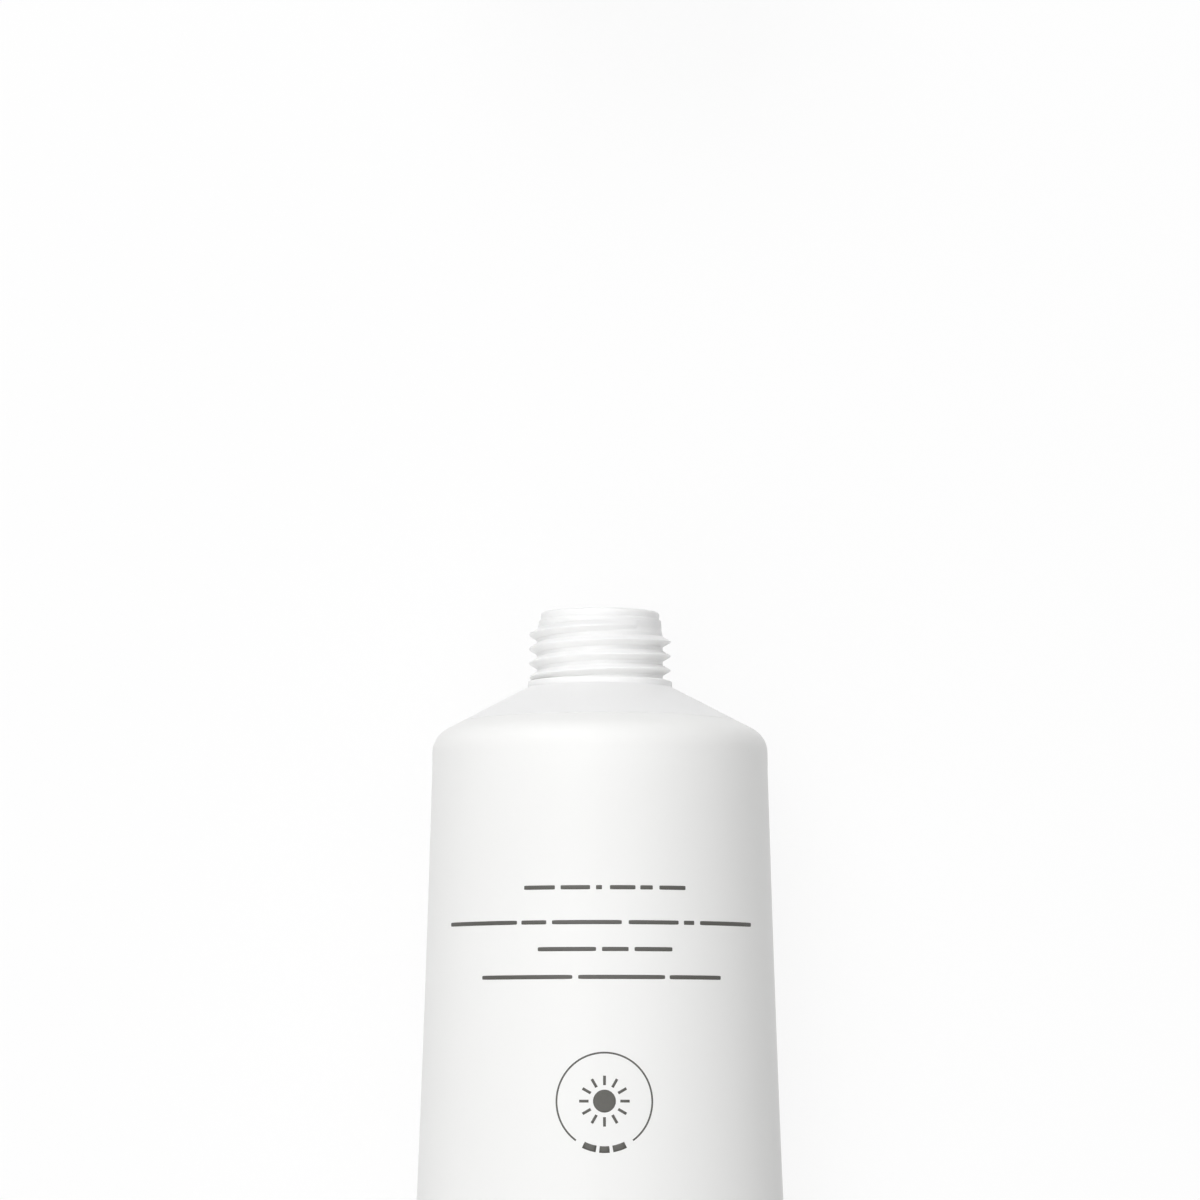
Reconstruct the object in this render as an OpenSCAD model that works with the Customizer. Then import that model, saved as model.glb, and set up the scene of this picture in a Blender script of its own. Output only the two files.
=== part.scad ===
// Squeeze tube with a crimped end and a threaded neck, lying on its back beside its screw cap.
// X runs across the crimp, +Y along the neck and +Z up. The origin lies under the middle of the wall.

/* [Sleeve] */
// Outside diameter of the sleeve where it meets the shoulder
sleeve_d = 35; // [28:0.5:42]
// Length from the shoulder's corner to the end of the crimp
sleeve_len = 148; // [110:1:180]
// Thickness of the sleeve's wall
sleeve_wall = 0.5; // [0.4:0.05:0.8]
// Length of the flat sealed crimp
crimp_len = 6; // [4:0.5:10]
// Share of the radius that the wall would spread by at its first steepness
first_spread = 0.25; // [0.15:0.01:0.45]
// Depth by which the back has settled flat
settle = 0.6; // [0.2:0.05:0.8]
// Radius of the ring where the sleeve's edge ends on the cone
edge_r = 14.6; // [13.4:0.1:14.8]

/* [Shoulder] */
// Slope of the cone, from square to the neck
cone_angle = 27.5; // [20:0.5:32]
// Outside radius of the corner between cone and wall
corner_r = 2.8; // [2:0.1:3.2]
// Thickness of the shoulder, with the sleeve's edge on it
shoulder_t = 1.4; // [1.3:0.05:1.8]
// Length of the skirt inside the sleeve
skirt_len = 2; // [1.5:0.1:4]

/* [Neck] */
// Height of the lip above the foot of the collar
neck_h = 7.9; // [7.5:0.05:9.5]
// Diameter of the collar at the neck's foot
collar_d = 15.1; // [15:0.05:16]
// Height of the collar
collar_h = 0.65; // [0.4:0.05:1]
// Diameter over the thread's crests
thread_d = 14.8; // [14.5:0.02:15]
// Rise of the thread in one turn
thread_pitch = 1.5; // [1.4:0.05:1.6]
// Height of the thread's ridge
thread_depth = 0.83; // [0.6:0.01:0.9]
// Turns of thread on the neck
thread_turns = 3.5; // [3:0.1:3.6]
// Distance from the lip down to the thread's upper end
thread_drop = 1.8; // [1.7:0.02:2]
// Angle from the front to the thread's upper end
thread_end_angle = 36; // [0:1:90]
// Diameter of the smooth land above the thread
land_d = 12.8; // [12.5:0.05:13]
// Diameter of the lip
lip_d = 12.4; // [12:0.02:12.7]
// Height of the lip's step
lip_h = 0.8; // [0.5:0.05:1]
// Bore of the neck
neck_bore_d = 10.2; // [8:0.1:10.6]
// Thickness of the plate that closes the neck
plate_t = 1; // [0.8:0.05:1.4]
// Depth of the plate below the lip
plate_recess = 0.4; // [0.2:0.05:0.6]
// Diameter of the hole in the plate
orifice_d = 4; // [2:0.1:6]

/* [Contents] */
// Share of the wall's length that the contents reach
fill_share = 0.86; // [0.5:0.01:0.94]

/* [Cap] */
// Outside diameter of the cap
cap_d = 35; // [34:0.5:35]
// Thickness of the cap's skirt
cap_wall = 1.2; // [1:0.05:1.5]
// Thickness of the cap's end
cap_end_t = 1.8; // [1.4:0.1:2.4]
// Radius of the cap's outer edge
cap_edge_r = 1.2; // [0.6:0.1:1.3]
// Thickness of the boss that holds the thread
boss_wall = 1.6; // [1.3:0.1:2.2]
// Turns of thread in the cap
cap_thread_turns = 2; // [1.5:0.1:2.2]
// Thickness of the liner
liner_t = 1; // [0.6:0.1:1.6]
// Number of ribs between boss and skirt
rib_count = 6; // [4:1:10]
// Thickness of a rib
rib_t = 0.9; // [0.7:0.1:1.4]
// Distance from the cap's seat on the neck to where it lies
cap_travel = 92; // [60:1:120]

/* [Hidden] */
$fn = 96;

// Named clearances
fused_gap = 0.06;
contents_gap = 0.2;
thread_gap = 0.15;
seat_gap = 0.05;
liner_gap = 0.05;
rim_gap = 0.3;
boss_gap = 0.4;

// Places along the neck's axis, measured from the wall's upper end
sleeve_r = sleeve_d / 2;
axis_h = sleeve_r;
shoulder_y = sleeve_len / 2;
corner_c = sleeve_r - corner_r;
cone_normal = 90 - cone_angle;
function cone_z(r) = corner_r / sin(cone_normal) - (r - corner_c) * tan(cone_angle);
collar_z = cone_z(collar_d / 2);
collar_top = collar_z + collar_h;
lip_z = collar_z + neck_h;
thread_top = lip_z - thread_drop;
plate_top = lip_z - plate_recess;
plate_low = plate_top - plate_t;

// Radii of the thread on the neck and in the cap
thread_r = thread_d / 2;
root_r = thread_r - thread_depth;
nut_bore_r = thread_r + thread_gap;
nut_crest_r = root_r + thread_gap;
ridge_base = 1.25;
ridge_crest = 0.2;
nut_ridge_base = 1.15;
nut_ridge_crest = 0.15;
ridge_sink = 0.15;
ridge_stub = 0.05;
ridge_run = 40;
ridge_steps = 48;

// Smoothing of small edges
lip_edge = 0.3;
fine_edge = 0.1;
arc_steps = 6;

// Cap, placed as it seats on the neck
cap_r = cap_d / 2;
cap_bore_r = cap_r - cap_wall;
corner_lift = max(0, cap_bore_r - corner_c);
rim_on_arc = sqrt(max(0, pow(corner_r, 2) - pow(corner_lift, 2)));
rim_on_cone = cone_z(cap_bore_r);
cap_rim = min(rim_on_arc, rim_on_cone) + rim_gap;
boss_rim = collar_top + boss_gap;
liner_low = lip_z + seat_gap;
cap_inside = liner_low + liner_t + liner_gap;
cap_end = cap_inside + cap_end_t;
boss_r = nut_bore_r + boss_wall;
liner_r = nut_bore_r - thread_gap;
nut_top = thread_top - thread_pitch;
rib_low = boss_rim + (cap_inside - boss_rim) * 0.4;

// Sections of the sleeve, from a circle to the flat crimp, all of one girth
side_count = 64;
fill_sides = 48;
ring_count = 26;
ring_bunching = 1.6;
flat_rise = 0.12;
mid_r = sleeve_r - sleeve_wall / 2;
last_spread = PI / 2 - 1 - first_spread;
girth_power = ln(2) / ln(PI / 2);
wall_len = sleeve_len - crimp_len - skirt_len;
function smooth(t) = let (u = min(1, max(0, t))) u * u * (3 - 2 * u);
function wide(t) = mid_r * (1 + first_spread * t + last_spread * pow(t, 3));
function quarter(t) = pow(mid_r * PI / 2, girth_power) - pow(wide(t), girth_power);
function high(t) = pow(max(0, quarter(t)), 1 / girth_power);
function outer_high(t) = high(t) + sleeve_wall * (1 + t) / 2;
function sag(t) = settle * smooth(t / flat_rise) * (1 - pow(t, 8));
function centre_h(t) = outer_high(t) - sag(t);
function wall_y(t) = shoulder_y - skirt_len - t * wall_len;
function ring_t(i) = 1 - pow(1 - i / ring_count, ring_bunching);

// A ring is its place along Y, half-width, half-height, centre height and lowest height
function round_ring(r, z, low) = [shoulder_y + z, r, r, axis_h, low];
function wall_ring(t, inset, low) =
    [wall_y(t), wide(t) + sleeve_wall / 2 - inset, outer_high(t) - inset, centre_h(t), low];
function ring_points(ring, sides) = [
    for (k = [0 : sides - 1])
        let (a = 360 * k / sides)
        [ring[1] * cos(a), ring[0], max(ring[4], ring[3] + ring[2] * sin(a))]
];
function flat_points(rings, sides) = [for (ring = rings) each ring_points(ring, sides)];

// Faces between rings of one tube, and over its two ends
function tube_faces(rings, sides) = [
    for (i = [0 : rings - 2], k = [0 : sides - 1])
        let (
            a = i * sides + k,
            b = i * sides + (k + 1) % sides
        )
        each [[a, b, b + sides], [a, b + sides, a + sides]]
];
function end_faces(rings, sides) = [
    [for (k = [sides - 1 : -1 : 0]) k],
    [for (k = [0 : sides - 1]) (rings - 1) * sides + k]
];

// The sleeve's profile over the shoulder, inset from its outer face
function corner_point(angle, inset) =
    [corner_c + (corner_r - inset) * cos(angle), (corner_r - inset) * sin(angle)];
function edge_point(inset) =
    let (
        start = corner_point(cone_normal, inset),
        run = (corner_point(cone_normal, 0)[0] - edge_r) / cos(cone_angle)
    )
    [start[0] - run * cos(cone_angle), start[1] + run * sin(cone_angle)];
function wrap_rings(inset) = [
    let (p = edge_point(inset)) round_ring(p[0], p[1], 0),
    for (i = [0 : arc_steps])
        let (p = corner_point(cone_normal * (1 - i / arc_steps), inset)) round_ring(p[0], p[1], 0)
];
function wall_rings(inset, low, last) = [for (i = [0 : last]) wall_ring(ring_t(i), inset, low)];

module blank(points, faces) {
    polyhedron(points = points, faces = faces, convexity = 6);
}

module on_neck() {
    translate([0, shoulder_y, axis_h]) rotate([-90, 0, 0]) children();
}

module parked() {
    translate([0, cap_travel, 0]) children();
}

// A ridge that winds up a cylinder and runs out at both ends
module ridge(base_r, crest_r, base_w, crest_w, top_z, turns) {
    count = ceil(turns * ridge_steps);
    sign = crest_r > base_r ? 1 : -1;
    sunk_r = base_r - sign * ridge_sink;
    stub_r = base_r + sign * ridge_stub;
    sections = [
        for (i = [0 : count])
            let (
                turn = turns * i / count,
                from_end = min(turn, turns - turn) * 360,
                share = smooth(from_end / ridge_run),
                tip_r = stub_r + (crest_r - stub_r) * share,
                angle = thread_end_angle - 90 - 360 * turn,
                z = top_z - turn * thread_pitch
            )
            for (p = [[sunk_r, -base_w], [tip_r, -crest_w], [tip_r, crest_w], [sunk_r, base_w]])
                [p[0] * cos(angle), p[0] * sin(angle), z + p[1] / 2]
    ];
    sides = [
        for (i = [0 : count - 1], k = [0 : 3])
            let (
                a = 4 * i + k,
                b = 4 * i + (k + 1) % 4
            )
            each sign > 0 ? [[a, b + 4, b], [a, a + 4, b + 4]] : [[a, b, b + 4], [a, b + 4, a + 4]]
    ];
    first = sign > 0 ? [0, 1, 2, 3] : [3, 2, 1, 0];
    last = [for (k = sign > 0 ? [3, 2, 1, 0] : [0, 1, 2, 3]) 4 * count + k];
    blank(sections, concat(sides, [first, last]));
}

module sleeve() {
    crimp_ring = [wall_y(1) - crimp_len, wide(1) + sleeve_wall / 2, sleeve_wall, sleeve_wall, 0];
    outer = concat(wrap_rings(0), wall_rings(0, 0, ring_count), [crimp_ring]);
    inner = concat(wrap_rings(sleeve_wall), wall_rings(sleeve_wall, sleeve_wall, ring_count - 1));
    outer_faces = tube_faces(len(outer), side_count);
    inner_faces = tube_faces(len(inner), side_count);
    start = len(outer) * side_count;
    mouth = [
        for (k = [0 : side_count - 1])
            let (next = (k + 1) % side_count)
            each [[k, start + k, start + next], [k, start + next, next]]
    ];
    color("whitesmoke") blank(
        concat(flat_points(outer, side_count), flat_points(inner, side_count)),
        concat(
            outer_faces,
            [for (f = inner_faces) [start + f[0], start + f[2], start + f[1]]],
            [end_faces(len(outer), side_count)[1]],
            [[for (k = [side_count - 1 : -1 : 0]) start + (len(inner) - 1) * side_count + k]],
            mouth
        )
    );
}

module shoulder_profile() {
    under = sleeve_wall + fused_gap;
    step_r = edge_r - fused_gap;
    step_low = [step_r - under * cos(cone_normal), cone_z(step_r) - under * sin(cone_normal)];
    skirt_low = fused_gap - skirt_len;
    cone_in = corner_point(cone_normal, shoulder_t);
    bore_r = neck_bore_d / 2;
    bore_low = cone_in[1] + (cone_in[0] - bore_r) * tan(cone_angle);
    polygon(concat(
        [
            [orifice_d / 2, plate_low],
            [orifice_d / 2, plate_top],
            [lip_d / 2 - 4 * lip_edge, plate_top],
            [lip_d / 2 - 3 * lip_edge, lip_z]
        ],
        [
            for (i = [0 : arc_steps])
                let (a = 90 - 90 * i / arc_steps)
                [lip_d / 2 - lip_edge * (1 - cos(a)), lip_z - lip_edge * (1 - sin(a))]
        ],
        [
            [lip_d / 2, lip_z - lip_h],
            [land_d / 2, lip_z - lip_h - fine_edge],
            [land_d / 2, thread_top - fine_edge],
            [root_r, thread_top - ridge_base / 2],
            [root_r, collar_top],
            [collar_d / 2 - fine_edge, collar_top],
            [collar_d / 2, collar_top - fine_edge],
            [collar_d / 2, collar_z],
            [step_r, cone_z(step_r)],
            step_low
        ],
        [for (i = [0 : arc_steps]) corner_point(cone_normal * (1 - i / arc_steps), under)],
        [
            [sleeve_r - under, skirt_low],
            [sleeve_r - shoulder_t, skirt_low]
        ],
        [for (i = [0 : arc_steps]) corner_point(cone_normal * i / arc_steps, shoulder_t)],
        [
            [bore_r, bore_low],
            [bore_r, plate_low]
        ]
    ));
}

module shoulder_neck() {
    color("white") on_neck() {
        rotate_extrude() shoulder_profile();
        ridge(root_r, thread_r, ridge_base, ridge_crest, thread_top, thread_turns);
    }
}

module contents() {
    inset = shoulder_t + contents_gap;
    bore_r = neck_bore_d / 2 - contents_gap;
    cone_in = corner_point(cone_normal, inset);
    bore_low = cone_in[1] + (cone_in[0] - bore_r) * tan(cone_angle);
    skirt_z = -skirt_len - contents_gap;
    last = floor(ring_count * (1 - pow(1 - fill_share, 1 / ring_bunching)));
    wall_inset = sleeve_wall + contents_gap;
    rings = concat(
        [
            round_ring(bore_r, plate_low - contents_gap, 0),
            round_ring(bore_r, bore_low, 0),
            round_ring(cone_in[0], cone_in[1], 0),
            round_ring(sleeve_r - inset, 0, 0),
            round_ring(sleeve_r - inset, skirt_z, 0)
        ],
        [for (i = [1 : last]) wall_ring(ring_t(i), wall_inset, wall_inset)],
        [wall_ring(fill_share, wall_inset, wall_inset)]
    );
    color("azure") blank(
        flat_points(rings, fill_sides),
        concat(tube_faces(len(rings), fill_sides), end_faces(len(rings), fill_sides))
    );
}

module cap_profile() {
    polygon(concat(
        [
            [0, cap_inside],
            [nut_bore_r, cap_inside],
            [nut_bore_r, boss_rim],
            [boss_r, boss_rim],
            [boss_r, cap_inside],
            [cap_bore_r, cap_inside],
            [cap_bore_r, cap_rim],
            [cap_r - fine_edge, cap_rim],
            [cap_r, cap_rim + fine_edge]
        ],
        [
            for (i = [0 : arc_steps])
                let (a = 90 * i / arc_steps)
                [cap_r - cap_edge_r * (1 - cos(a)), cap_end - cap_edge_r * (1 - sin(a))]
        ],
        [[0, cap_end]]
    ));
}

module cap() {
    color("white") parked() on_neck() {
        rotate_extrude() cap_profile();
        for (i = [0 : rib_count - 1])
            rotate(360 * i / rib_count)
                translate([boss_r - fine_edge, -rib_t / 2, rib_low])
                    cube([cap_bore_r - boss_r + 2 * fine_edge, rib_t, cap_end - cap_end_t / 2 - rib_low]);
        ridge(
            nut_bore_r, nut_crest_r, nut_ridge_base, nut_ridge_crest,
            nut_top + thread_pitch / 2, cap_thread_turns
        );
    }
}

module cap_liner() {
    color("lightgrey") parked() on_neck() translate([0, 0, liner_low]) cylinder(h = liner_t, r = liner_r);
}

sleeve();
shoulder_neck();
contents();
cap();
cap_liner();
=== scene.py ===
"""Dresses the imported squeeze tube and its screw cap, and sets them in a pale studio.

Lengths are in metres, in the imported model's own frame: X across the crimp, +Y along the neck, +Z up from
the table. Each piece is a surface over a grid of points, worked out from the sizes in the property groups.
"""
import math

import bpy
import numpy as np
from bpy.props import FloatProperty, FloatVectorProperty, IntProperty, PointerProperty
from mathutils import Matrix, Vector


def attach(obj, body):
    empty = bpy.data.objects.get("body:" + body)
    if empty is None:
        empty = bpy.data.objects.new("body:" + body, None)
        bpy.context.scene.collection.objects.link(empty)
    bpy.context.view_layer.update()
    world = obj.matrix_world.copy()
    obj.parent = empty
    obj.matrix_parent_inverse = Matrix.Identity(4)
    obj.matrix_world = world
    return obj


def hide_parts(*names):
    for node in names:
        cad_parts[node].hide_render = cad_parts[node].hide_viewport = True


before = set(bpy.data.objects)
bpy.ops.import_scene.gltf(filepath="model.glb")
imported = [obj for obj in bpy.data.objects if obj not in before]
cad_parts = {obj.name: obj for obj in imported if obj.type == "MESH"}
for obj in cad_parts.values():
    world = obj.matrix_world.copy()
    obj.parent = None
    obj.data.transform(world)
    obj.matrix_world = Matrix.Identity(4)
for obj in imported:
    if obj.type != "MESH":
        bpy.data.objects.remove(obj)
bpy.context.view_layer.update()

bl_info = {
    "name": "Squeeze Tube",
    "version": (1, 0, 0),
    "blender": (4, 5, 0),
    "location": "3D View > Sidebar > Squeeze Tube",
    "description": "Makes a crimped squeeze tube with a screw cap, and the studio around it",
    "category": "Add Mesh",
}

MM = 0.001
FULL_TURN = 2 * math.pi


# Sizes and colours

def length(name, millimetres, description=""):
    """A length in metres whose default is given in millimetres."""
    return FloatProperty(
        name=name, description=description, default=millimetres * MM, min=0, precision=5,
        subtype="DISTANCE", unit="LENGTH",
    )


def angle(name, degrees, description):
    """An angle in radians whose default is given in degrees."""
    return FloatProperty(
        name=name, description=description, default=math.radians(degrees), subtype="ANGLE", unit="ROTATION",
    )


def share(name, value, description="", most=1.0):
    """A plain factor."""
    return FloatProperty(name=name, description=description, default=value, min=0, max=most)


def count(name, value, description=""):
    """A whole number of like things."""
    return IntProperty(name=name, description=description, default=value, min=1)


def colour(name, value, description=""):
    """A linear colour."""
    return FloatVectorProperty(
        name=name, description=description, default=value, size=3, min=0, max=1, subtype="COLOR",
    )


class TubeSizes(bpy.types.PropertyGroup):
    """Sizes of the sleeve, the shoulder, the neck and the contents."""

    sleeve_d: length("Sleeve diameter", 35, "Outside diameter where the sleeve meets the shoulder")
    sleeve_len: length("Sleeve length", 148, "From the shoulder's corner to the end of the crimp")
    wall: length("Wall thickness", 0.5)
    crimp_len: length("Crimp length", 6)
    first_spread: share("First spread", 0.25, "Share of the radius that the wall's even slope spreads by")
    settle: length("Settle", 0.6, "Depth by which the back has settled flat")
    edge_r: length("Edge radius", 14.6, "Radius of the ring where the sleeve's edge ends on the cone")
    cone_angle: angle("Cone angle", 27.5, "Slope of the cone, from square to the neck")
    corner_r: length("Corner radius", 2.8)
    shoulder_t: length("Shoulder thickness", 1.4)
    skirt_len: length("Skirt length", 2)
    neck_h: length("Neck height", 7.9, "Height of the lip above the collar's foot")
    collar_d: length("Collar diameter", 15.1)
    collar_h: length("Collar height", 0.65)
    thread_d: length("Thread diameter", 14.8)
    thread_pitch: length("Thread pitch", 1.5)
    thread_depth: length("Thread depth", 0.83)
    thread_turns: share("Thread turns", 3.5, most=9.0)
    thread_drop: length("Thread drop", 1.8, "Distance from the lip down to the thread's upper end")
    thread_end: angle("Thread end", 36, "Angle from the front to the thread's upper end")
    land_d: length("Land diameter", 12.8, "Diameter of the smooth land above the thread")
    lip_d: length("Lip diameter", 12.4)
    lip_h: length("Lip height", 0.8)
    neck_bore_d: length("Neck bore", 10.2)
    plate_t: length("Plate thickness", 1)
    plate_recess: length("Plate recess", 0.4)
    orifice_d: length("Orifice diameter", 4)
    fill_share: share("Fill share", 0.86, "Share of the wall's length that the contents reach")
    seal_pitch: length("Seal pitch", 0.85)
    seal_depth: length("Seal depth", 0.09)
    crease_depth: length("Crease depth", 0.3, "Depth of the soft dents that the crimp pulls into the wall")


class CapSizes(bpy.types.PropertyGroup):
    """Sizes of the cap and its liner."""

    cap_d: length("Cap diameter", 35)
    wall: length("Skirt thickness", 1.2)
    end_t: length("End thickness", 1.8)
    edge_r: length("Edge radius", 1.2)
    boss_wall: length("Boss thickness", 1.6)
    thread_turns: share("Thread turns", 2, most=9.0)
    liner_t: length("Liner thickness", 1)
    liner_mark: length("Liner mark", 0.07, "Depth of the ring that the lip has pressed into the liner")
    rib_count: count("Ribs", 6)
    rib_t: length("Rib thickness", 0.9)
    dish: length("Dish", 0.25)
    travel: length("Travel", 92, "Distance from the cap's seat on the neck to where it lies")


class PrintSizes(bpy.types.PropertyGroup):
    """Sizes of the printed bars and the sun."""

    bar_h: length("Bar height", 0.42)
    sun_place: length("Sun place", 36.05, "Distance from the shoulder's corner to the sun's centre")
    ring_r: length("Ring radius", 4.86)
    ring_line: length("Ring line", 0.18)
    disc_r: length("Disc radius", 1.15)
    ray_count: count("Rays", 12)
    ray_start: length("Ray start", 1.6)
    ray_end: length("Ray end", 2.55)
    ray_w: length("Ray width", 0.28)
    film: length("Film thickness", 0.015)


class FinishColours(bpy.types.PropertyGroup):
    """Colours and roughness of the finishes."""

    film: colour("Sleeve", (0.92, 0.92, 0.91))
    film_roughness: share("Sleeve roughness", 0.42)
    moulded: colour("Shoulder and neck", (0.95, 0.95, 0.94))
    cap: colour("Cap", (0.92, 0.92, 0.91))
    moulded_roughness: share("Moulded roughness", 0.36)
    gloss: share("Gloss", 0.25, "Specular level of the white plastics")
    moulded_depth: length("Moulded depth", 0.3, "Depth that light spreads to in the mouldings")
    ink: colour("Ink", (0.089, 0.087, 0.078))
    gel: colour("Gel", (0.9, 0.93, 0.93))
    liner: colour("Liner", (0.86, 0.87, 0.87))


class StudioSizes(bpy.types.PropertyGroup):
    """Levels of the light and places of the camera."""

    room_level: share("Room level", 0.26, "Light from all around", 4.0)
    high_level: share("High level", 0.39, "Light of the panel at the left beyond the neck", 9.0)
    key_level: share("Key level", 0.35, "Light of the panel at the left above the tube", 9.0)
    low_level: share("Low level", 0.19, "Light of the panel at the left near the crimp", 9.0)
    fill_level: share("Fill level", 0.19, "Light of the panel at the right", 9.0)
    panel_d: length("Panel distance", 900)
    panel_w: length("Panel width", 700, "Width of a panel, from left to right")
    panel_h: length("Panel height", 450, "Height of a panel, along the tube")
    floor_glow: share("Floor glow", 0.88, "Share of plain white that the camera sees on the floor")
    camera_y: length("Camera place", 39.1)
    camera_rise: length("Camera rise", 500)
    aim_y: length("Aim place", 90.14, "Place along the tube that the camera looks at")
    field: angle("Field", 14.26, "Angle that the picture takes in")


# Shapes worked out from the sizes

def smooth(t):
    """Rises from 0 to 1 as t does and is level at both ends: t squared times (3 - 2 t)."""
    t = np.clip(t, 0, 1)
    return t * t * (3 - 2 * t)


def soft_max(a, b, width):
    """The larger of two heights, with the corner where they cross rounded over that width."""
    return (a + b + np.sqrt((a - b) ** 2 + width ** 2)) / 2


def hump(x, middle, width):
    """1 at the middle, falling to 0 on both sides as a bell of that width."""
    return np.exp(-(((x - middle) / width) ** 2))


def rounded(corners, closed=False, steps=5):
    """A line through corners, each (r, z, radius), with every corner bent into an arc of its radius.

    An arc starts and ends radius * tan(turn / 2) from its corner, where the line turns by that angle. Its
    points are centre + radius * (cos, sin) of angles spread evenly over the turn.
    """
    points = np.array([c[:2] for c in corners], float)
    radii = np.array([c[2] for c in corners], float)
    before, after = np.roll(points, 1, axis=0) - points, np.roll(points, -1, axis=0) - points
    before /= np.linalg.norm(before, axis=1, keepdims=True)
    after /= np.linalg.norm(after, axis=1, keepdims=True)
    half = np.arccos(np.clip(np.sum(before * after, axis=1), -1, 1)) / 2
    if not closed:
        radii[[0, -1]] = 0
    middle = before + after
    middle /= np.maximum(np.linalg.norm(middle, axis=1, keepdims=True), 1e-12)
    centre = points + middle * (radii / np.maximum(np.sin(half), 1e-9))[:, None]
    start = points + before * (radii / np.tan(half))[:, None]
    end = points + after * (radii / np.tan(half))[:, None]
    from_a = np.arctan2(*(start - centre).T[::-1])
    sweep = (np.arctan2(*(end - centre).T[::-1]) - from_a + math.pi) % FULL_TURN - math.pi
    line = []
    for i, radius in enumerate(radii):
        if radius == 0:
            line.append(points[i:i + 1])
        else:
            a = from_a[i] + sweep[i] * np.linspace(0, 1, steps + 1)
            line.append(centre[i] + radius * np.column_stack([np.cos(a), np.sin(a)]))
    return np.vstack(line)


def finer(line, spacing, closed=False):
    """The line with points added, none further apart than the spacing, a length or a function of (r, z)."""
    ends = np.roll(line, -1, axis=0) if closed else line[1:]
    starts = line if closed else line[:-1]
    if callable(spacing):
        spacing = spacing(*((starts + ends) / 2).T)
    pieces = np.ceil(np.linalg.norm(ends - starts, axis=1) / spacing)
    pieces = np.maximum(pieces, 1).astype(int)
    which = np.repeat(np.arange(len(pieces)), pieces)
    step = np.arange(len(which)) - np.repeat(np.cumsum(pieces) - pieces, pieces)
    points = starts[which] + (ends - starts)[which] * (step / pieces[which])[:, None]
    return points if closed else np.vstack([points, line[-1:]])


def ridge_height(form, turn_angle, z, top_z, turns, depth, widths):
    """Height of a winding ridge above its cylinder, at an angle from the front and a height on the neck.

    Each turn's centre lies at top_z - pitch * turn. Across it the height falls from the crest along straight
    flanks, with a crest rounded as sqrt(d² + c²) - c, and it runs out over run_out at both ends.
    """
    base_w, crest_w = widths
    first = ((form.sizes.thread_end - turn_angle) / FULL_TURN) % 1
    best = np.full(np.broadcast(turn_angle, z).shape, -form.ridge_sink)
    for whole in range(math.ceil(turns) + 1):
        turn = first + whole
        grown = smooth(np.minimum(turn, turns - turn) * FULL_TURN / form.run_out)
        tip = form.ridge_stub + (depth - form.ridge_stub) * grown
        off = np.abs(z - (top_z - form.sizes.thread_pitch * turn))
        fall = np.sqrt(off ** 2 + (crest_w / 2) ** 2) - crest_w / 2
        flank = tip - (tip + form.ridge_sink) * fall / ((base_w - crest_w) / 2)
        best = np.where(turn <= turns, np.maximum(best, flank), best)
    return best


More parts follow.
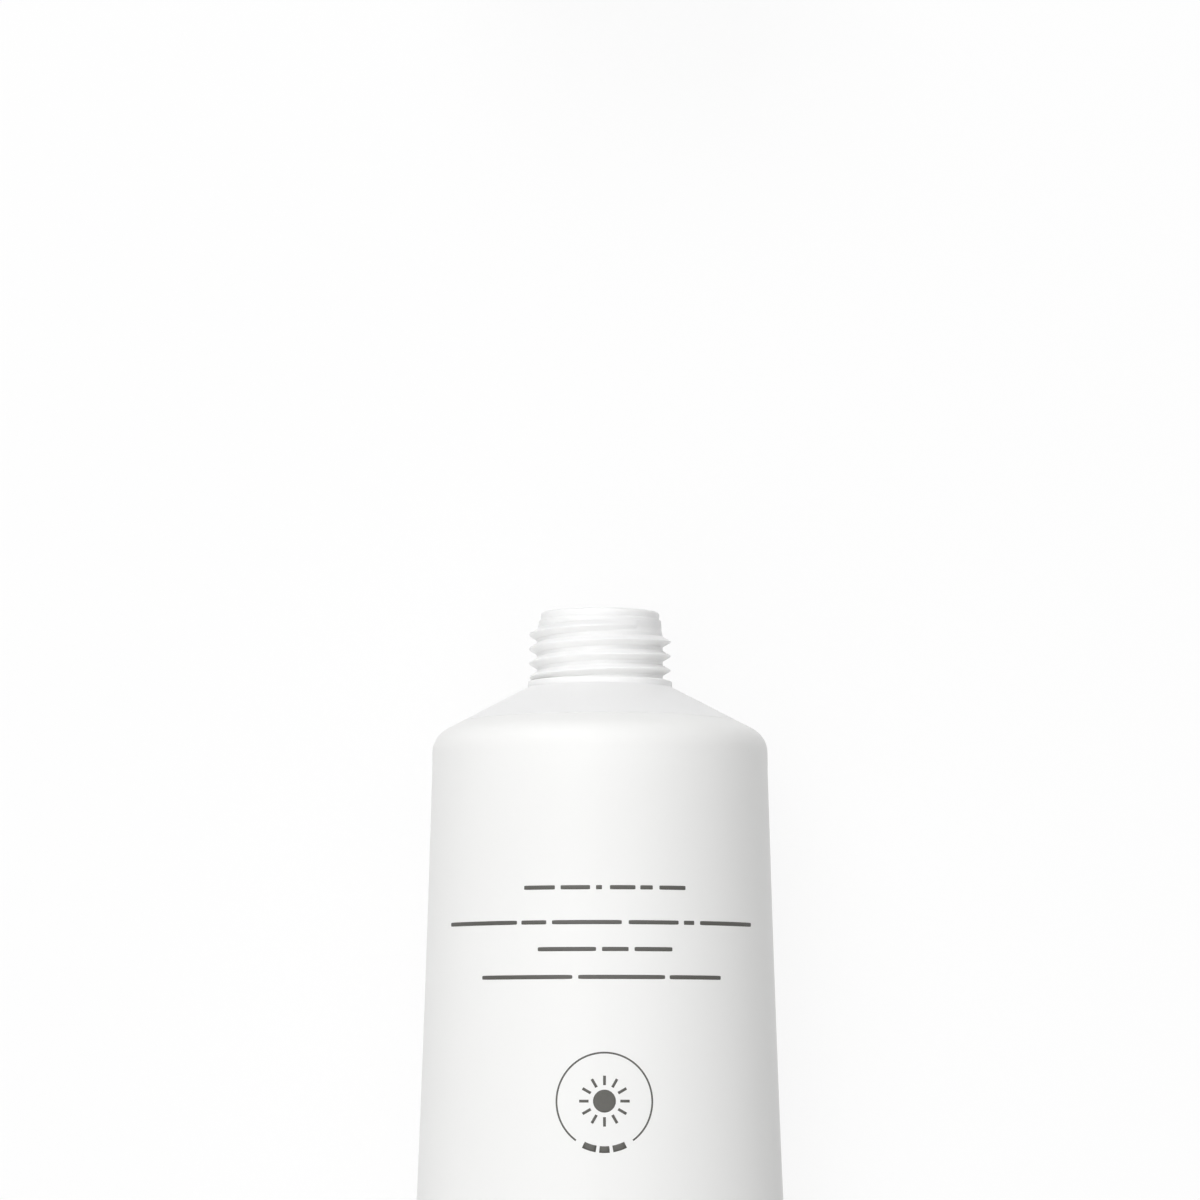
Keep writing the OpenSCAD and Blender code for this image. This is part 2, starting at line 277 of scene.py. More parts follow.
class TubeForm:
    """Places and sections of the tube and the cap, worked out from their sizes.

    Along the wall, t runs from 0 at the shoulder to 1 where the crimp starts. On the neck, a place is a
    radius and a height above the wall's upper end, and the angle runs from the front towards +X.
    """

    flat_rise = 0.12
    first_t = 0.02
    girth_steps = 721
    ridge_sink = 0.15 * MM
    ridge_stub = 0.01 * MM
    ridge_widths = (1.25 * MM, 0.2 * MM)
    nut_ridge_widths = (1.15 * MM, 0.15 * MM)
    run_out = math.radians(50)
    fused_gap = 0.06 * MM
    contents_gap = 0.2 * MM
    thread_gap = 0.15 * MM
    seat_gap = 0.05 * MM
    rim_gap = 0.3 * MM
    boss_gap = 0.4 * MM
    lip_edge = 0.3 * MM
    fine_edge = 0.1 * MM
    ridge_blend = 0.05 * MM

    def __init__(self, tube, cap):
        self.sizes, self.cap = tube, cap
        self.radius = self.axis_h = tube.sleeve_d / 2
        self.shoulder_y = tube.sleeve_len / 2
        self.corner_c = self.radius - tube.corner_r
        self.collar_z = self.cone_z(tube.collar_d / 2)
        self.collar_top = self.collar_z + tube.collar_h
        self.lip_z = self.collar_z + tube.neck_h
        self.thread_top = self.lip_z - tube.thread_drop
        self.plate_top = self.lip_z - tube.plate_recess
        self.plate_low = self.plate_top - tube.plate_t
        self.root_r = tube.thread_d / 2 - tube.thread_depth
        self.wall_len = tube.sleeve_len - tube.crimp_len - tube.skirt_len
        self.mid_r = self.radius - tube.wall / 2
        self.nut_bore_r = tube.thread_d / 2 + self.thread_gap
        self.nut_depth = self.nut_bore_r - self.root_r - self.thread_gap
        self.boss_r = self.nut_bore_r + cap.boss_wall
        self.cap_bore_r = cap.cap_d / 2 - cap.wall
        self.liner_low = self.lip_z + self.seat_gap
        self.cap_inside = self.liner_low + cap.liner_t + self.seat_gap
        self.cap_end = self.cap_inside + cap.end_t
        self.boss_rim = self.collar_top + self.boss_gap
        lift = max(0, self.cap_bore_r - self.corner_c)
        on_arc = math.sqrt(tube.corner_r ** 2 - lift ** 2)
        self.cap_rim = min(on_arc, self.cone_z(self.cap_bore_r)) + self.rim_gap

    def cone_z(self, r):
        """Height of the cone's face: corner_r / cos(slope) less the run from the corner times tan(slope)."""
        slope = self.sizes.cone_angle
        return self.sizes.corner_r / math.cos(slope) - (r - self.corner_c) * math.tan(slope)

    def cone_corner(self, inset):
        """The corner of cone and wall, at a depth below the outer face, with its radius."""
        r = self.radius - inset
        return r, self.cone_z(r) - inset / math.cos(self.sizes.cone_angle), self.sizes.corner_r - inset

    def under_cone(self, r, inset):
        """The point at a depth straight below the cone's outer face at radius r."""
        slope = self.sizes.cone_angle
        return r - inset * math.sin(slope), self.cone_z(r) - inset * math.cos(slope)

    def section(self, t):
        """Half-width, half-height and centre height of the wall's outside.

        The half-width of the wall's middle is its radius times 1 + first t + last t³. Its half-height keeps
        the girth: both to the power p = ln 2 / ln(pi / 2) add up to (pi r / 2) to the power p. The back
        sinks by settle * smooth(t / flat_rise) * (1 - t⁸).
        """
        quarter = math.pi / 2
        power = math.log(2) / math.log(quarter)
        last_spread = quarter - 1 - self.sizes.first_spread
        wide = self.mid_r * (1 + self.sizes.first_spread * t + last_spread * t ** 3)
        high = np.maximum(0, (self.mid_r * quarter) ** power - wide ** power) ** (1 / power)
        high = high + self.sizes.wall * (1 + t) / 2
        centre = high - self.sizes.settle * smooth(t / self.flat_rise) * (1 - t ** 8)
        return wide + self.sizes.wall / 2, high, centre

    def wall_y(self, t):
        """Place along Y of the section at t."""
        return self.shoulder_y - self.sizes.skirt_len - t * self.wall_len

    def around(self, line, columns, parked=0.0):
        """A line of (r, z) turned about the neck's axis, as [row, column, xyz]. r may vary by column."""
        r, z = line
        a = np.linspace(0, FULL_TURN, columns, endpoint=False)
        x, up = r * np.sin(a), self.axis_h + r * np.cos(a)
        return np.stack([x, np.broadcast_to(self.shoulder_y + parked + z, x.shape), up], axis=-1)

    def on_sleeve(self, girth, drop, lift):
        """Points on the sleeve's face, at a distance round from the front line and down from the corner.

        The distance round is matched to the section's angle by adding up sqrt((w cos)² + (h sin)²) over
        the angle, at the mean height of the patch. Each point moves out by the lift along the normal.
        """
        t = (drop - self.sizes.skirt_len) / self.wall_len
        wide, high, centre = self.section(t)
        mid_wide, mid_high, _ = self.section(t.mean())
        table = np.linspace(-math.pi / 2, math.pi / 2, self.girth_steps)
        speed = np.hypot(mid_wide * np.cos(table), mid_high * np.sin(table))
        run = np.cumsum(speed) * (table[1] - table[0])
        a = np.interp(girth, run - np.interp(0, table, run), table)
        normal = np.stack([np.sin(a) / wide, np.cos(a) / high], axis=-1)
        normal *= lift / np.linalg.norm(normal, axis=-1, keepdims=True)
        x = wide * np.sin(a) + normal[..., 0]
        z = centre + high * np.cos(a) + normal[..., 1]
        return np.stack([x, self.shoulder_y - drop, z], axis=-1)


def rings(y, wide, high, centre, low, columns):
    """Rings square to Y: (wide cos a, y, centre + high sin a), cut flat at the lowest height."""
    a = np.linspace(0, FULL_TURN, columns, endpoint=False)
    sizes = [np.broadcast_to(v, y.shape)[:, None] for v in (wide, high, centre, low)]
    x = sizes[0] * np.cos(a)
    z = np.maximum(sizes[3], sizes[2] + sizes[1] * np.sin(a))
    return np.stack([x, np.broadcast_to(y[:, None], x.shape), z], axis=-1)


def circles(form, line, columns):
    """Circles about the neck's axis, one for each (r, z) of a line."""
    r, z = line.T
    return rings(form.shoulder_y + z, r, r, form.axis_h, 0, columns)


def section_rings(form, t, inset, columns):
    """The wall's sections at t, all inset by a depth."""
    wide, high, centre = form.section(t)
    return rings(form.wall_y(t), wide - inset, high - inset, centre, inset, columns)


# Meshes

# Angles in degrees above which an edge stays sharp
SOLID_SHARP = 30
SHEET_SHARP = 60


def grid_faces(rows, columns, ring=False, sheet=False):
    """Four-sided faces of a grid. A ring joins its last row to its first, and a sheet joins no edges."""
    i = np.arange(rows if ring else rows - 1)[:, None] * columns
    k = np.arange(columns - 1 if sheet else columns)
    below = (i + columns) % (rows * columns)
    right = (k + 1) % columns
    corners = np.broadcast_arrays(i + k, i + right, below + right, below + k)
    return np.stack(corners, axis=-1).reshape(-1, 4)


def end_faces(first, columns):
    """Strips that close a ring of points, each between a point and its mirror image across the ring."""
    k = np.arange(1, columns // 2 - 1)
    quads = first + np.stack([k, k + 1, columns - k - 1, columns - k], axis=-1)
    half = columns // 2
    tips = [[first, first + 1, first + columns - 1], [first + half - 1, first + half, first + half + 1]]
    return quads.tolist() + tips


def volume_of(points, quads):
    """Six times the volume inside four-sided faces: the sum of a . (b x c) over their halves."""
    a, b, c, d = (points[quads[:, i]] for i in range(4))
    return np.sum(a * (np.cross(b, c) + np.cross(c, d)))


def solid_mesh(name, grids, ring=False):
    """One mesh from closed grids of points, each [row, column, xyz], with its faces turned outward.

    Columns join round. Rows join round in a ring, and otherwise strips close the first and the last row.
    Faces point outward once the volume that they enclose is positive.
    """
    points, faces, start = [], [], 0
    for grid in grids:
        rows, columns = grid.shape[:2]
        flat = grid.reshape(-1, 3)
        quads = grid_faces(rows, columns, ring)
        inward = volume_of(flat - flat.mean(axis=0), quads) < 0
        found = (quads + start).tolist()
        if not ring:
            found += [f[::-1] for f in end_faces(start, columns)]
            found += end_faces(start + (rows - 1) * columns, columns)
        faces += [f[::-1] for f in found] if inward else found
        points.append(flat)
        start += len(flat)
    return shown(name, np.vstack(points), faces, SOLID_SHARP)


def sheet_mesh(name, grids, film):
    """One mesh from open grids of points, given a thickness outward from the sleeve."""
    points, faces, start = [], [], 0
    for grid in grids:
        faces += (grid_faces(*grid.shape[:2], sheet=True) + start).tolist()
        points.append(grid.reshape(-1, 3))
        start += len(points[-1])
    made = shown(name, np.vstack(points), faces, SHEET_SHARP)
    thick = made.modifiers.new("film", "SOLIDIFY")
    thick.thickness = film
    thick.offset = 1
    return made


def placed(name, data):
    """An object with this data, in the scene."""
    made = bpy.data.objects.new(name, data)
    bpy.context.scene.collection.objects.link(made)
    return made


def shown(name, points, faces, sharp):
    """An object of these points and faces, smooth but for edges sharper than the angle in degrees."""
    mesh = bpy.data.meshes.new(name)
    mesh.from_pydata(points, [], faces)
    mesh.polygons.foreach_set("use_smooth", np.ones(len(mesh.polygons), bool))
    mesh.set_sharp_from_angle(angle=math.radians(sharp))
    if mesh.validate():
        raise ValueError(f"the faces of {name} don't make a sound mesh")
    return placed(name, mesh)


def dress(piece, body, finish, nodes=()):
    """Gives the piece its material and its body, and hides the imported nodes that it stands in for."""
    piece.data.materials.append(finish)
    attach(piece, body)
    if nodes:
        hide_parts(*nodes)
    return piece


# Finishes

class Wire:
    """An output socket that can stand in a sum. Each operator adds its Math node."""

    def __init__(self, nodes, socket):
        self.nodes, self.socket = nodes, socket

    def __add__(self, other):
        return self.nodes.math("ADD", self, other)

    def __sub__(self, other):
        return self.nodes.math("SUBTRACT", self, other)

    def __rsub__(self, other):
        return self.nodes.math("SUBTRACT", other, self)

    def __mul__(self, other):
        return self.nodes.math("MULTIPLY", self, other)

    __radd__, __rmul__ = __add__, __mul__


class Nodes:
    """The nodes of a material or a world."""

    def __init__(self, owner):
        owner.use_nodes = True
        self.tree = owner.node_tree
        self.tree.nodes.clear()

    def node(self, kind, settings=None, sockets=None):
        """Adds a node. Its settings are set first, then its sockets' values or links. Gives its outputs."""
        made = self.tree.nodes.new(kind)
        for name, value in (settings or {}).items():
            if name == "stops":
                self.set_stops(made.color_ramp, value)
            else:
                setattr(made, name, value)
        for name, value in (sockets or {}).items():
            if isinstance(value, Wire):
                self.tree.links.new(value.socket, made.inputs[name])
            else:
                made.inputs[name].default_value = value
        return {key: Wire(self, out) for i, out in enumerate(made.outputs) for key in (i, out.name)}

    @staticmethod
    def set_stops(ramp, stops):
        """Sets a ramp's stops, each a place and a grey level."""
        for _ in stops[2:]:
            ramp.elements.new(0.5)
        for element, (place, level) in zip(ramp.elements, stops):
            element.position = place
            element.color = (level, level, level, 1)

    def math(self, operation, *values):
        """A Math node on two values or wires."""
        return self.node("ShaderNodeMath", {"operation": operation}, dict(enumerate(values)))[0]

    def seen_directly(self):
        """1 for rays from the camera, from gloss and through clear parts, 0 for rays that light the part."""
        path = self.node("ShaderNodeLightPath")
        return path["Is Camera Ray"] + path["Is Glossy Ray"] + path["Is Transmission Ray"]


class Finish(Nodes):
    """A material and the nodes that make it."""

    def __init__(self, name):
        self.material = bpy.data.materials.new(name)
        super().__init__(self.material)
        self.place = self.node("ShaderNodeTexCoord")["Object"]

    def noise(self, size, detail=2.0, stretch=(1, 1, 1)):
        """Cloudy noise from 0 to 1, with spots of about that size. A small stretch draws them out."""
        place = self.node("ShaderNodeMapping", None, {"Vector": self.place, "Scale": stretch})["Vector"]
        sockets = {"Vector": place, "Scale": 1 / size, "Detail": detail}
        return self.node("ShaderNodeTexNoise", None, sockets)[0]

    def between(self, wire, low, high):
        """The wire's part from low to high as a mask from 0 to 1."""
        stops = ((low, 0), (high, 1))
        return self.node("ShaderNodeValToRGB", {"stops": stops}, {"Fac": wire})["Color"]

    def mixed(self, mask, first, second):
        """The first colour where the mask is 0 and the second where it is 1."""
        sockets = {0: mask, 6: (*first, 1), 7: (*second, 1)}
        return self.node("ShaderNodeMix", {"data_type": "RGBA"}, sockets)[2]

    def bump(self, height, depth):
        """A normal from a height of 0 to 1, that deep."""
        return self.node("ShaderNodeBump", None, {"Height": height, "Distance": depth})["Normal"]

    def done(self, **sockets):
        """Ends the tree in a Principled shader with these sockets, and gives the material."""
        named = {name.replace("_", " "): value for name, value in sockets.items()}
        shader = self.node("ShaderNodeBsdfPrincipled", None, named)[0]
        self.node("ShaderNodeOutputMaterial", None, {"Surface": shader})
        return self.material


def shade(tint, factor):
    """The colour made darker or paler by a factor."""
    return tuple(min(1.0, c * factor) for c in tint)


def film_finish(colours):
    """Extruded film: satin white, with fine lines along it, an orange-peel skin and a few faint rubs."""
    finish = Finish("sleeve_film")
    cloud = finish.noise(22 * MM)
    lines = finish.noise(0.55 * MM, 1.0, (1, 0.012, 1))
    peel = finish.noise(1.1 * MM, 2.0)
    rubs = finish.between(finish.noise(5 * MM, 6.0, (1, 0.25, 1)), 0.62, 0.75)
    return finish.done(
        Base_Color=finish.mixed(cloud, colours.film, shade(colours.film, 0.985)),
        Roughness=colours.film_roughness + 0.05 * (cloud - 0.5) + 0.05 * rubs,
        Normal=finish.bump(0.6 * peel + 0.4 * lines + 0.15 * rubs, 0.006 * MM),
        Specular_IOR_Level=colours.gloss,
    )


def moulded_finish(name, tint, colours):
    """Injection-moulded plastic: a milky, even satin skin with fine grain and flow marks."""
    finish = Finish(name)
    cloud = finish.noise(9 * MM)
    grain = finish.noise(0.35 * MM, 3.0)
    return finish.done(
        Base_Color=finish.mixed(cloud, tint, shade(tint, 0.985)),
        Roughness=colours.moulded_roughness + 0.06 * (cloud - 0.5) + 0.04 * (grain - 0.5),
        Normal=finish.bump(grain, 0.004 * MM),
        Specular_IOR_Level=colours.gloss,
        Subsurface_Weight=1.0,
        Subsurface_Radius=(1, 1, 1),
        Subsurface_Scale=colours.moulded_depth,
    )


def ink_finish(colours):
    """Screen-printed ink: dark warm grey, a little uneven in tone and gloss."""
    finish = Finish("print_ink")
    grain = finish.noise(0.3 * MM, 3.0)
    return finish.done(
        Base_Color=finish.mixed(grain, shade(colours.ink, 0.9), shade(colours.ink, 1.15)),
        Roughness=0.45 + 0.1 * grain,
        Normal=finish.bump(grain, 0.003 * MM),
    )


def gel_finish(colours):
    """Clear wet gel with a few fine bubbles."""
    finish = Finish("clear_gel")
    swell = finish.noise(1.5 * MM)
    bubbles = finish.between(finish.noise(0.4 * MM), 0.68, 0.74)
    return finish.done(
        Base_Color=finish.mixed(bubbles, colours.gel, shade(colours.gel, 1.05)),
        Roughness=0.06 + 0.04 * swell,
        Normal=finish.bump(swell + 0.3 * bubbles, 0.01 * MM),
        Transmission_Weight=0.5,
        IOR=1.36,
    )


def liner_finish(colours):
    """Foamed sheet: matt, with fine open cells."""
    finish = Finish("foam_liner")
    cells = finish.node(
        "ShaderNodeTexVoronoi", None, {"Vector": finish.place, "Scale": 1 / (0.25 * MM)}
    )["Distance"]
    cloud = finish.noise(3 * MM)
    return finish.done(
        Base_Color=finish.mixed(cells, shade(colours.liner, 0.96), colours.liner),
        Roughness=0.62 + 0.1 * cloud,
        Normal=finish.bump(cells, 0.02 * MM),
    )


# Pieces

def sleeve_grid(form):
    """The sleeve from the end of its hollow, up its inner face, over the mouth and down its outer face.

    Wrap rows are circles along a rounded line over the shoulder, and wall rows are the sections at t. t
    bunches towards the crimp as 1 - (1 - s) to a power. Near the crimp the upper wall is creased.
    """
    tube, columns = form.sizes, 224
    skirt_z, mouth, step = -tube.skirt_len, 0.07 * MM, 0.4 * MM
    hollow_end, hollow_rows = 0.985, 48
    wall_rows, bunching = 230, 1.6
    inner_edge = form.under_cone(tube.edge_r, tube.wall)
    corners = [
        (form.radius - tube.wall, skirt_z, 0),
        form.cone_corner(tube.wall),
        (*inner_edge, mouth),
        (tube.edge_r, form.cone_z(tube.edge_r), mouth),
        form.cone_corner(0),
        (form.radius, skirt_z, 0),
    ]
    wrap = finer(rounded(corners, steps=12), step)
    inner_t = np.linspace(hollow_end, form.first_t, hollow_rows)
    outer_t = 1 - (1 - np.linspace(0, 1, wall_rows)[1:]) ** bunching
    inner = section_rings(form, inner_t, tube.wall, columns)
    outer = creased(form, section_rings(form, outer_t, 0, columns), outer_t[:, None])
    return np.concatenate([inner, circles(form, wrap, columns), outer])


def creased(form, wall, t):
    """The wall with its upper half pulled down near the crimp.

    Two dents lie beside the middle, each a bell across and a bell along, and fine pleats run along the tube
    and fade with distance from the crimp. Both grow with a point's height above the section's centre.
    """
    dent_side, dent_w, dent_t, dent_len = 0.52, 0.16, 0.88, 0.07
    pleat_share, pleat_w, pleat_t, pleat_len = 0.25, 1.7 * MM, 0.975, 0.025
    fade = 3 * MM
    wide, _, centre = form.section(t)
    x, z = wall[..., 0], wall[..., 2]
    across = x / wide
    dents = hump(np.abs(across), dent_side, dent_w) * hump(t, dent_t, dent_len)
    pleats = pleat_share * np.cos(x / pleat_w) * hump(t, pleat_t, pleat_len)
    above = smooth((z - centre) / fade)
    wall[..., 2] = z - form.sizes.crease_depth * above * (dents + pleats * (1 - across ** 2))
    return wall


def crimp_grid(form):
    """The flat seal as a slab: a rounded section in Y and Z, carried across X.

    At x the slab's half-height is half its thickness times sqrt(1 - s²), where s grows from 0 to 1 over the
    last half-height. The ribs sink its faces by depth * (1 + cos(2 pi x / pitch)) / 2 inside smooth borders.
    """
    tube = form.sizes
    wide, high, _ = form.section(np.float64(1))
    overlap, corner, step = 0.3 * MM, 0.25 * MM, 0.3 * MM
    border_w, side_gap, side_w = 0.7 * MM, 1.2 * MM, 0.8 * MM
    half_rows, bunching, last_s = 260, 1.15, 0.999
    y_end, y_start = -form.shoulder_y, form.wall_y(1) + overlap
    ends = ((y_end, -high), (y_start, -high), (y_start, high), (y_end, high))
    line = rounded([(*end, corner) for end in ends], closed=True)
    section = finer(line, step, closed=True)
    reach = 1 - (1 - np.linspace(0, 1, half_rows)) ** bunching
    x = np.concatenate([-reach[:0:-1], reach]) * wide
    s = np.clip((np.abs(x) - (wide - high)) / high, 0, last_s)[:, None]
    y, z = section.T
    border = smooth((y - y_end) / border_w) * smooth((y_start - overlap - y) / border_w)
    inside = smooth((wide - side_gap - np.abs(x)) / side_w)[:, None]
    rib = (1 + np.cos(FULL_TURN * x / tube.seal_pitch))[:, None] / 2
    sunk = tube.seal_depth * rib * border * inside * np.abs(z) / high
    z = np.sign(z) * (np.abs(z) - sunk) * np.sqrt(1 - s ** 2)
    x, y = np.broadcast_to(x[:, None], z.shape), np.broadcast_to(y, z.shape)
    return np.stack([x, y, high + z], axis=-1)


def neck_grid(form):
    """The shoulder and neck: a closed, rounded profile turned about the axis, with the thread on its radius.

    In the thread's reach the radius is the soft larger of the profile and root + ridge_height.
    """
    tube, columns = form.sizes, 256
    under = tube.wall + form.fused_gap
    step_r = tube.edge_r - form.fused_gap
    lip_r, land_r, collar_r = tube.lip_d / 2, tube.land_d / 2, tube.collar_d / 2
    lip_w, mouth_w = 3 * form.lip_edge, 4 * form.lip_edge
    bore_r = tube.neck_bore_d / 2
    skirt_low = form.fused_gap - tube.skirt_len
    inner_corner = form.cone_corner(tube.shoulder_t)
    bore_low = inner_corner[1] + (inner_corner[0] - bore_r) * math.tan(tube.cone_angle)
    small, fine = 0.15 * MM, 0.06 * MM
    thread_step, step = 0.04 * MM, 0.35 * MM
    corners = [
        (tube.orifice_d / 2, form.plate_low, small),
        (tube.orifice_d / 2, form.plate_top, small),
        (lip_r - mouth_w, form.plate_top, small),
        (lip_r - lip_w, form.lip_z, fine),
        (lip_r, form.lip_z, form.lip_edge),
        (lip_r, form.lip_z - tube.lip_h, fine),
        (land_r, form.lip_z - tube.lip_h - form.fine_edge, fine),
        (land_r, form.thread_top - form.fine_edge, small),
        (form.root_r, form.thread_top - form.ridge_widths[0] / 2, small),
        (form.root_r, form.collar_top, small),
        (collar_r, form.collar_top, small),
        (collar_r, form.collar_z, small),
        (step_r, form.cone_z(step_r), fine),
        (*form.under_cone(step_r, under), fine),
        form.cone_corner(under),
        (form.radius - under, skirt_low, small),
        (form.radius - tube.shoulder_t, skirt_low, small),
        inner_corner,
        (bore_r, bore_low, small),
        (bore_r, form.plate_low, small),
    ]
    thread_high = form.thread_top + form.ridge_widths[0] / 2

    def in_reach(r, z):
        return (z > form.collar_top - form.fine_edge) & (z < thread_high) & (r > land_r - fine)

    def spacing(r, z):
        return np.where(in_reach(r, z) & (r < form.root_r + small), thread_step, step)

    line = finer(rounded(corners, closed=True), spacing, closed=True)
    r, z = line[:, :1], line[:, 1:]
    a = np.linspace(0, FULL_TURN, columns, endpoint=False)
    ridge = form.root_r + ridge_height(
        form, a, z, form.thread_top, tube.thread_turns, tube.thread_depth, form.ridge_widths
    )
    threaded = soft_max(r, ridge, form.ridge_blend)
    return form.around((np.where(in_reach(r, z), threaded, r), z), columns)


def gel_grid(form):
    """The gel: a domed column in the orifice, then the neck's bore, the cone and the wall, all inset.

    The dome's rows lie at top - sag * (r / radius)². Wall rows are the sections up to fill_share.
    """
    tube, columns = form.sizes, 96
    inset = tube.shoulder_t + form.contents_gap
    bore_r = tube.neck_bore_d / 2 - form.contents_gap
    clearance, edge, step = 0.04 * MM, 0.3 * MM, 0.8 * MM
    dome_drop, dome_sag, dome_foot = 0.15 * MM, 0.35 * MM, 0.1 * MM
    column_r = tube.orifice_d / 2 - clearance
    inner_corner = form.cone_corner(inset)
    bore_low = inner_corner[1] + (inner_corner[0] - bore_r) * math.tan(tube.cone_angle)
    bore_top = form.plate_low - form.contents_gap
    dome_r = np.linspace(0.05, 1, 10) * column_r
    dome_z = form.plate_top - dome_drop - dome_sag * (dome_r / column_r) ** 2
    corners = [
        (column_r, dome_z[-1] - dome_foot, 0),
        (column_r, bore_top, 0.02 * MM),
        (bore_r, bore_top, edge),
        (bore_r, bore_low, edge),
        inner_corner,
        (form.radius - inset, -tube.skirt_len - form.contents_gap, 0),
    ]
    line = np.vstack([np.column_stack([dome_r, dome_z]), finer(rounded(corners), step)])
    t = np.linspace(form.first_t, tube.fill_share, 60)
    wall = section_rings(form, t, tube.wall + form.contents_gap, columns)
    return np.concatenate([circles(form, line, columns), wall])


def cap_grid(form):
    """The cap: a rounded profile from the middle inside to the middle of its end, turned about the axis.

    In the boss the radius is the soft smaller of the profile and bore - ridge_height. The end has a shallow
    dish with a small gate mark, and a fine groove runs round the skirt above its rim.
    """
    tube, cap, columns = form.sizes, form.cap, 256
    cap_r = cap.cap_d / 2
    middle, small, fine = 0.3 * MM, 0.15 * MM, 0.06 * MM
    rim_edge, inner_edge = 0.25 * MM, 0.5 * MM
    groove, groove_w, groove_depth = form.cap_rim + 1.3 * MM, 0.12 * MM, 0.1 * MM
    dish_r, dish_foot_r, dish_z = cap_r - 3.2 * MM, cap_r - 3.9 * MM, form.cap_end - cap.dish
    gate_r, gate_foot_r, gate_z = 1.3 * MM, 1.1 * MM, dish_z - 0.1 * MM
    thread_step, step = 0.05 * MM, 0.8 * MM
    corners = [
        (middle, form.cap_inside, 0),
        (form.nut_bore_r, form.cap_inside, small),
        (form.nut_bore_r, form.boss_rim, small),
        (form.boss_r, form.boss_rim, small),
        (form.boss_r, form.cap_inside, small),
        (form.cap_bore_r, form.cap_inside, inner_edge),
        (form.cap_bore_r, form.cap_rim, rim_edge),
        (cap_r, form.cap_rim, rim_edge),
        (cap_r, groove - groove_w, fine),
        (cap_r - groove_depth, groove, fine),
        (cap_r, groove + groove_w, fine),
        (cap_r, form.cap_end, cap.edge_r),
        (dish_r, form.cap_end, middle),
        (dish_foot_r, dish_z, inner_edge),
        (gate_r, dish_z, fine),
        (gate_foot_r, gate_z, fine),
        (middle, gate_z, 0),
    ]
    top_z = form.thread_top - tube.thread_pitch / 2

    def in_reach(r, z):
        in_boss = (z < form.cap_inside - fine) & (z > form.boss_rim)
        return (r < form.nut_bore_r + fine) & (r > 2 * small) & in_boss

    def spacing(r, z):
        return np.where(in_reach(r, z) & (r > form.root_r), thread_step, step)

    line = finer(rounded(corners, steps=6), spacing)
    r, z = line[:, :1], line[:, 1:]
    a = np.linspace(0, FULL_TURN, columns, endpoint=False)
    ridge = form.nut_bore_r - ridge_height(
        form, a, z, top_z, cap.thread_turns, form.nut_depth, form.nut_ridge_widths
    )
    threaded = -soft_max(-r, -ridge, form.ridge_blend)
    return form.around((np.where(in_reach(r, z), threaded, r), z), columns, cap.travel)


def rib_grids(form):
    """The cap's ribs: a rounded section in thickness and height, carried out from boss to skirt.

    A rib is thicker by a bell at both ends.
    """
    cap, rows = form.cap, 14
    low_share, edge, step = 0.4, 0.3 * MM, 0.5 * MM
    flare, flare_len = 0.35 * MM, 0.6 * MM
    low = form.boss_rim + (form.cap_inside - form.boss_rim) * low_share
    high = form.cap_inside + cap.end_t / 2
    half = cap.rib_t / 2
    corners = [(-half, low, edge), (half, low, edge), (half, high, edge), (-half, high, edge)]
    side, z = finer(rounded(corners, closed=True), step, closed=True).T
    out = np.linspace(form.boss_r - form.fine_edge, form.cap_bore_r + form.fine_edge, rows)[:, None]
    thicker = flare * (hump(out, out[0], flare_len) + hump(out, out[-1], flare_len))
    side = side * (1 + thicker / half)
    grids = []
    for turn in np.arange(cap.rib_count) / cap.rib_count * FULL_TURN:
        x = out * math.cos(turn) + side * math.sin(turn)
        up = form.axis_h - out * math.sin(turn) + side * math.cos(turn)
        y = np.broadcast_to(form.shoulder_y + cap.travel + z, x.shape)
        grids.append(np.stack([x, y, up], axis=-1))
    return grids


def liner_grid(form):
    """The liner: a thin disc with a shallow ring where the lip presses, as a bell across the lip's width."""
    tube, cap, columns = form.sizes, form.cap, 128
    middle, edge, step, mark_w = 0.3 * MM, 0.2 * MM, 0.15 * MM, 0.35 * MM
    outer_r = form.nut_bore_r - form.thread_gap
    low, high = form.liner_low, form.liner_low + cap.liner_t
    corners = [(middle, low, 0), (outer_r, low, edge), (outer_r, high, edge), (middle, high, 0)]
    r, z = finer(rounded(corners), step).T
    lip = tube.lip_d / 2 - 2 * form.lip_edge
    z = z + cap.liner_mark * hump(r, lip, mark_w) * (z < low + edge)
    return form.around((r[:, None], z[:, None]), columns, cap.travel)


# Rows of print, as the distance from the shoulder's corner and the ends of each bar, in millimetres
PRINT_ROWS = (
    (14.6, ((-7.9, -4.6), (-4.0, -1.0), (-0.4, 0.2), (1.0, 3.6), (4.1, 5.4), (6.1, 9.0))),
    (18.1, ((-17.9, -8.7), (-8.2, -5.5), (-4.9, 2.2), (2.9, 8.2), (8.8, 10.0), (10.7, 18.3))),
    (20.8, ((-6.4, -0.4), (0.2, 2.9), (3.5, 7.5))),
    (23.6, ((-12.9, -2.8), (-2.2, 6.7), (7.2, 13.3))),
)
# Bars on the ring, in its gap, as the angles of their ends from the side away from the neck, in degrees
RING_BARS = ((-26, -10), (-6, 6), (10, 26))
RING_GAP = 36
# Half the height of a bar on the ring, as a share of the other bars' height
RING_BAR_SHARE = 0.8
# Distance of the sun's centre from the front line, towards +X
SUN_SIDE = 0.45 * MM
# Height of the ink's film above the sleeve's face
SHEET_LIFT = 0.006 * MM


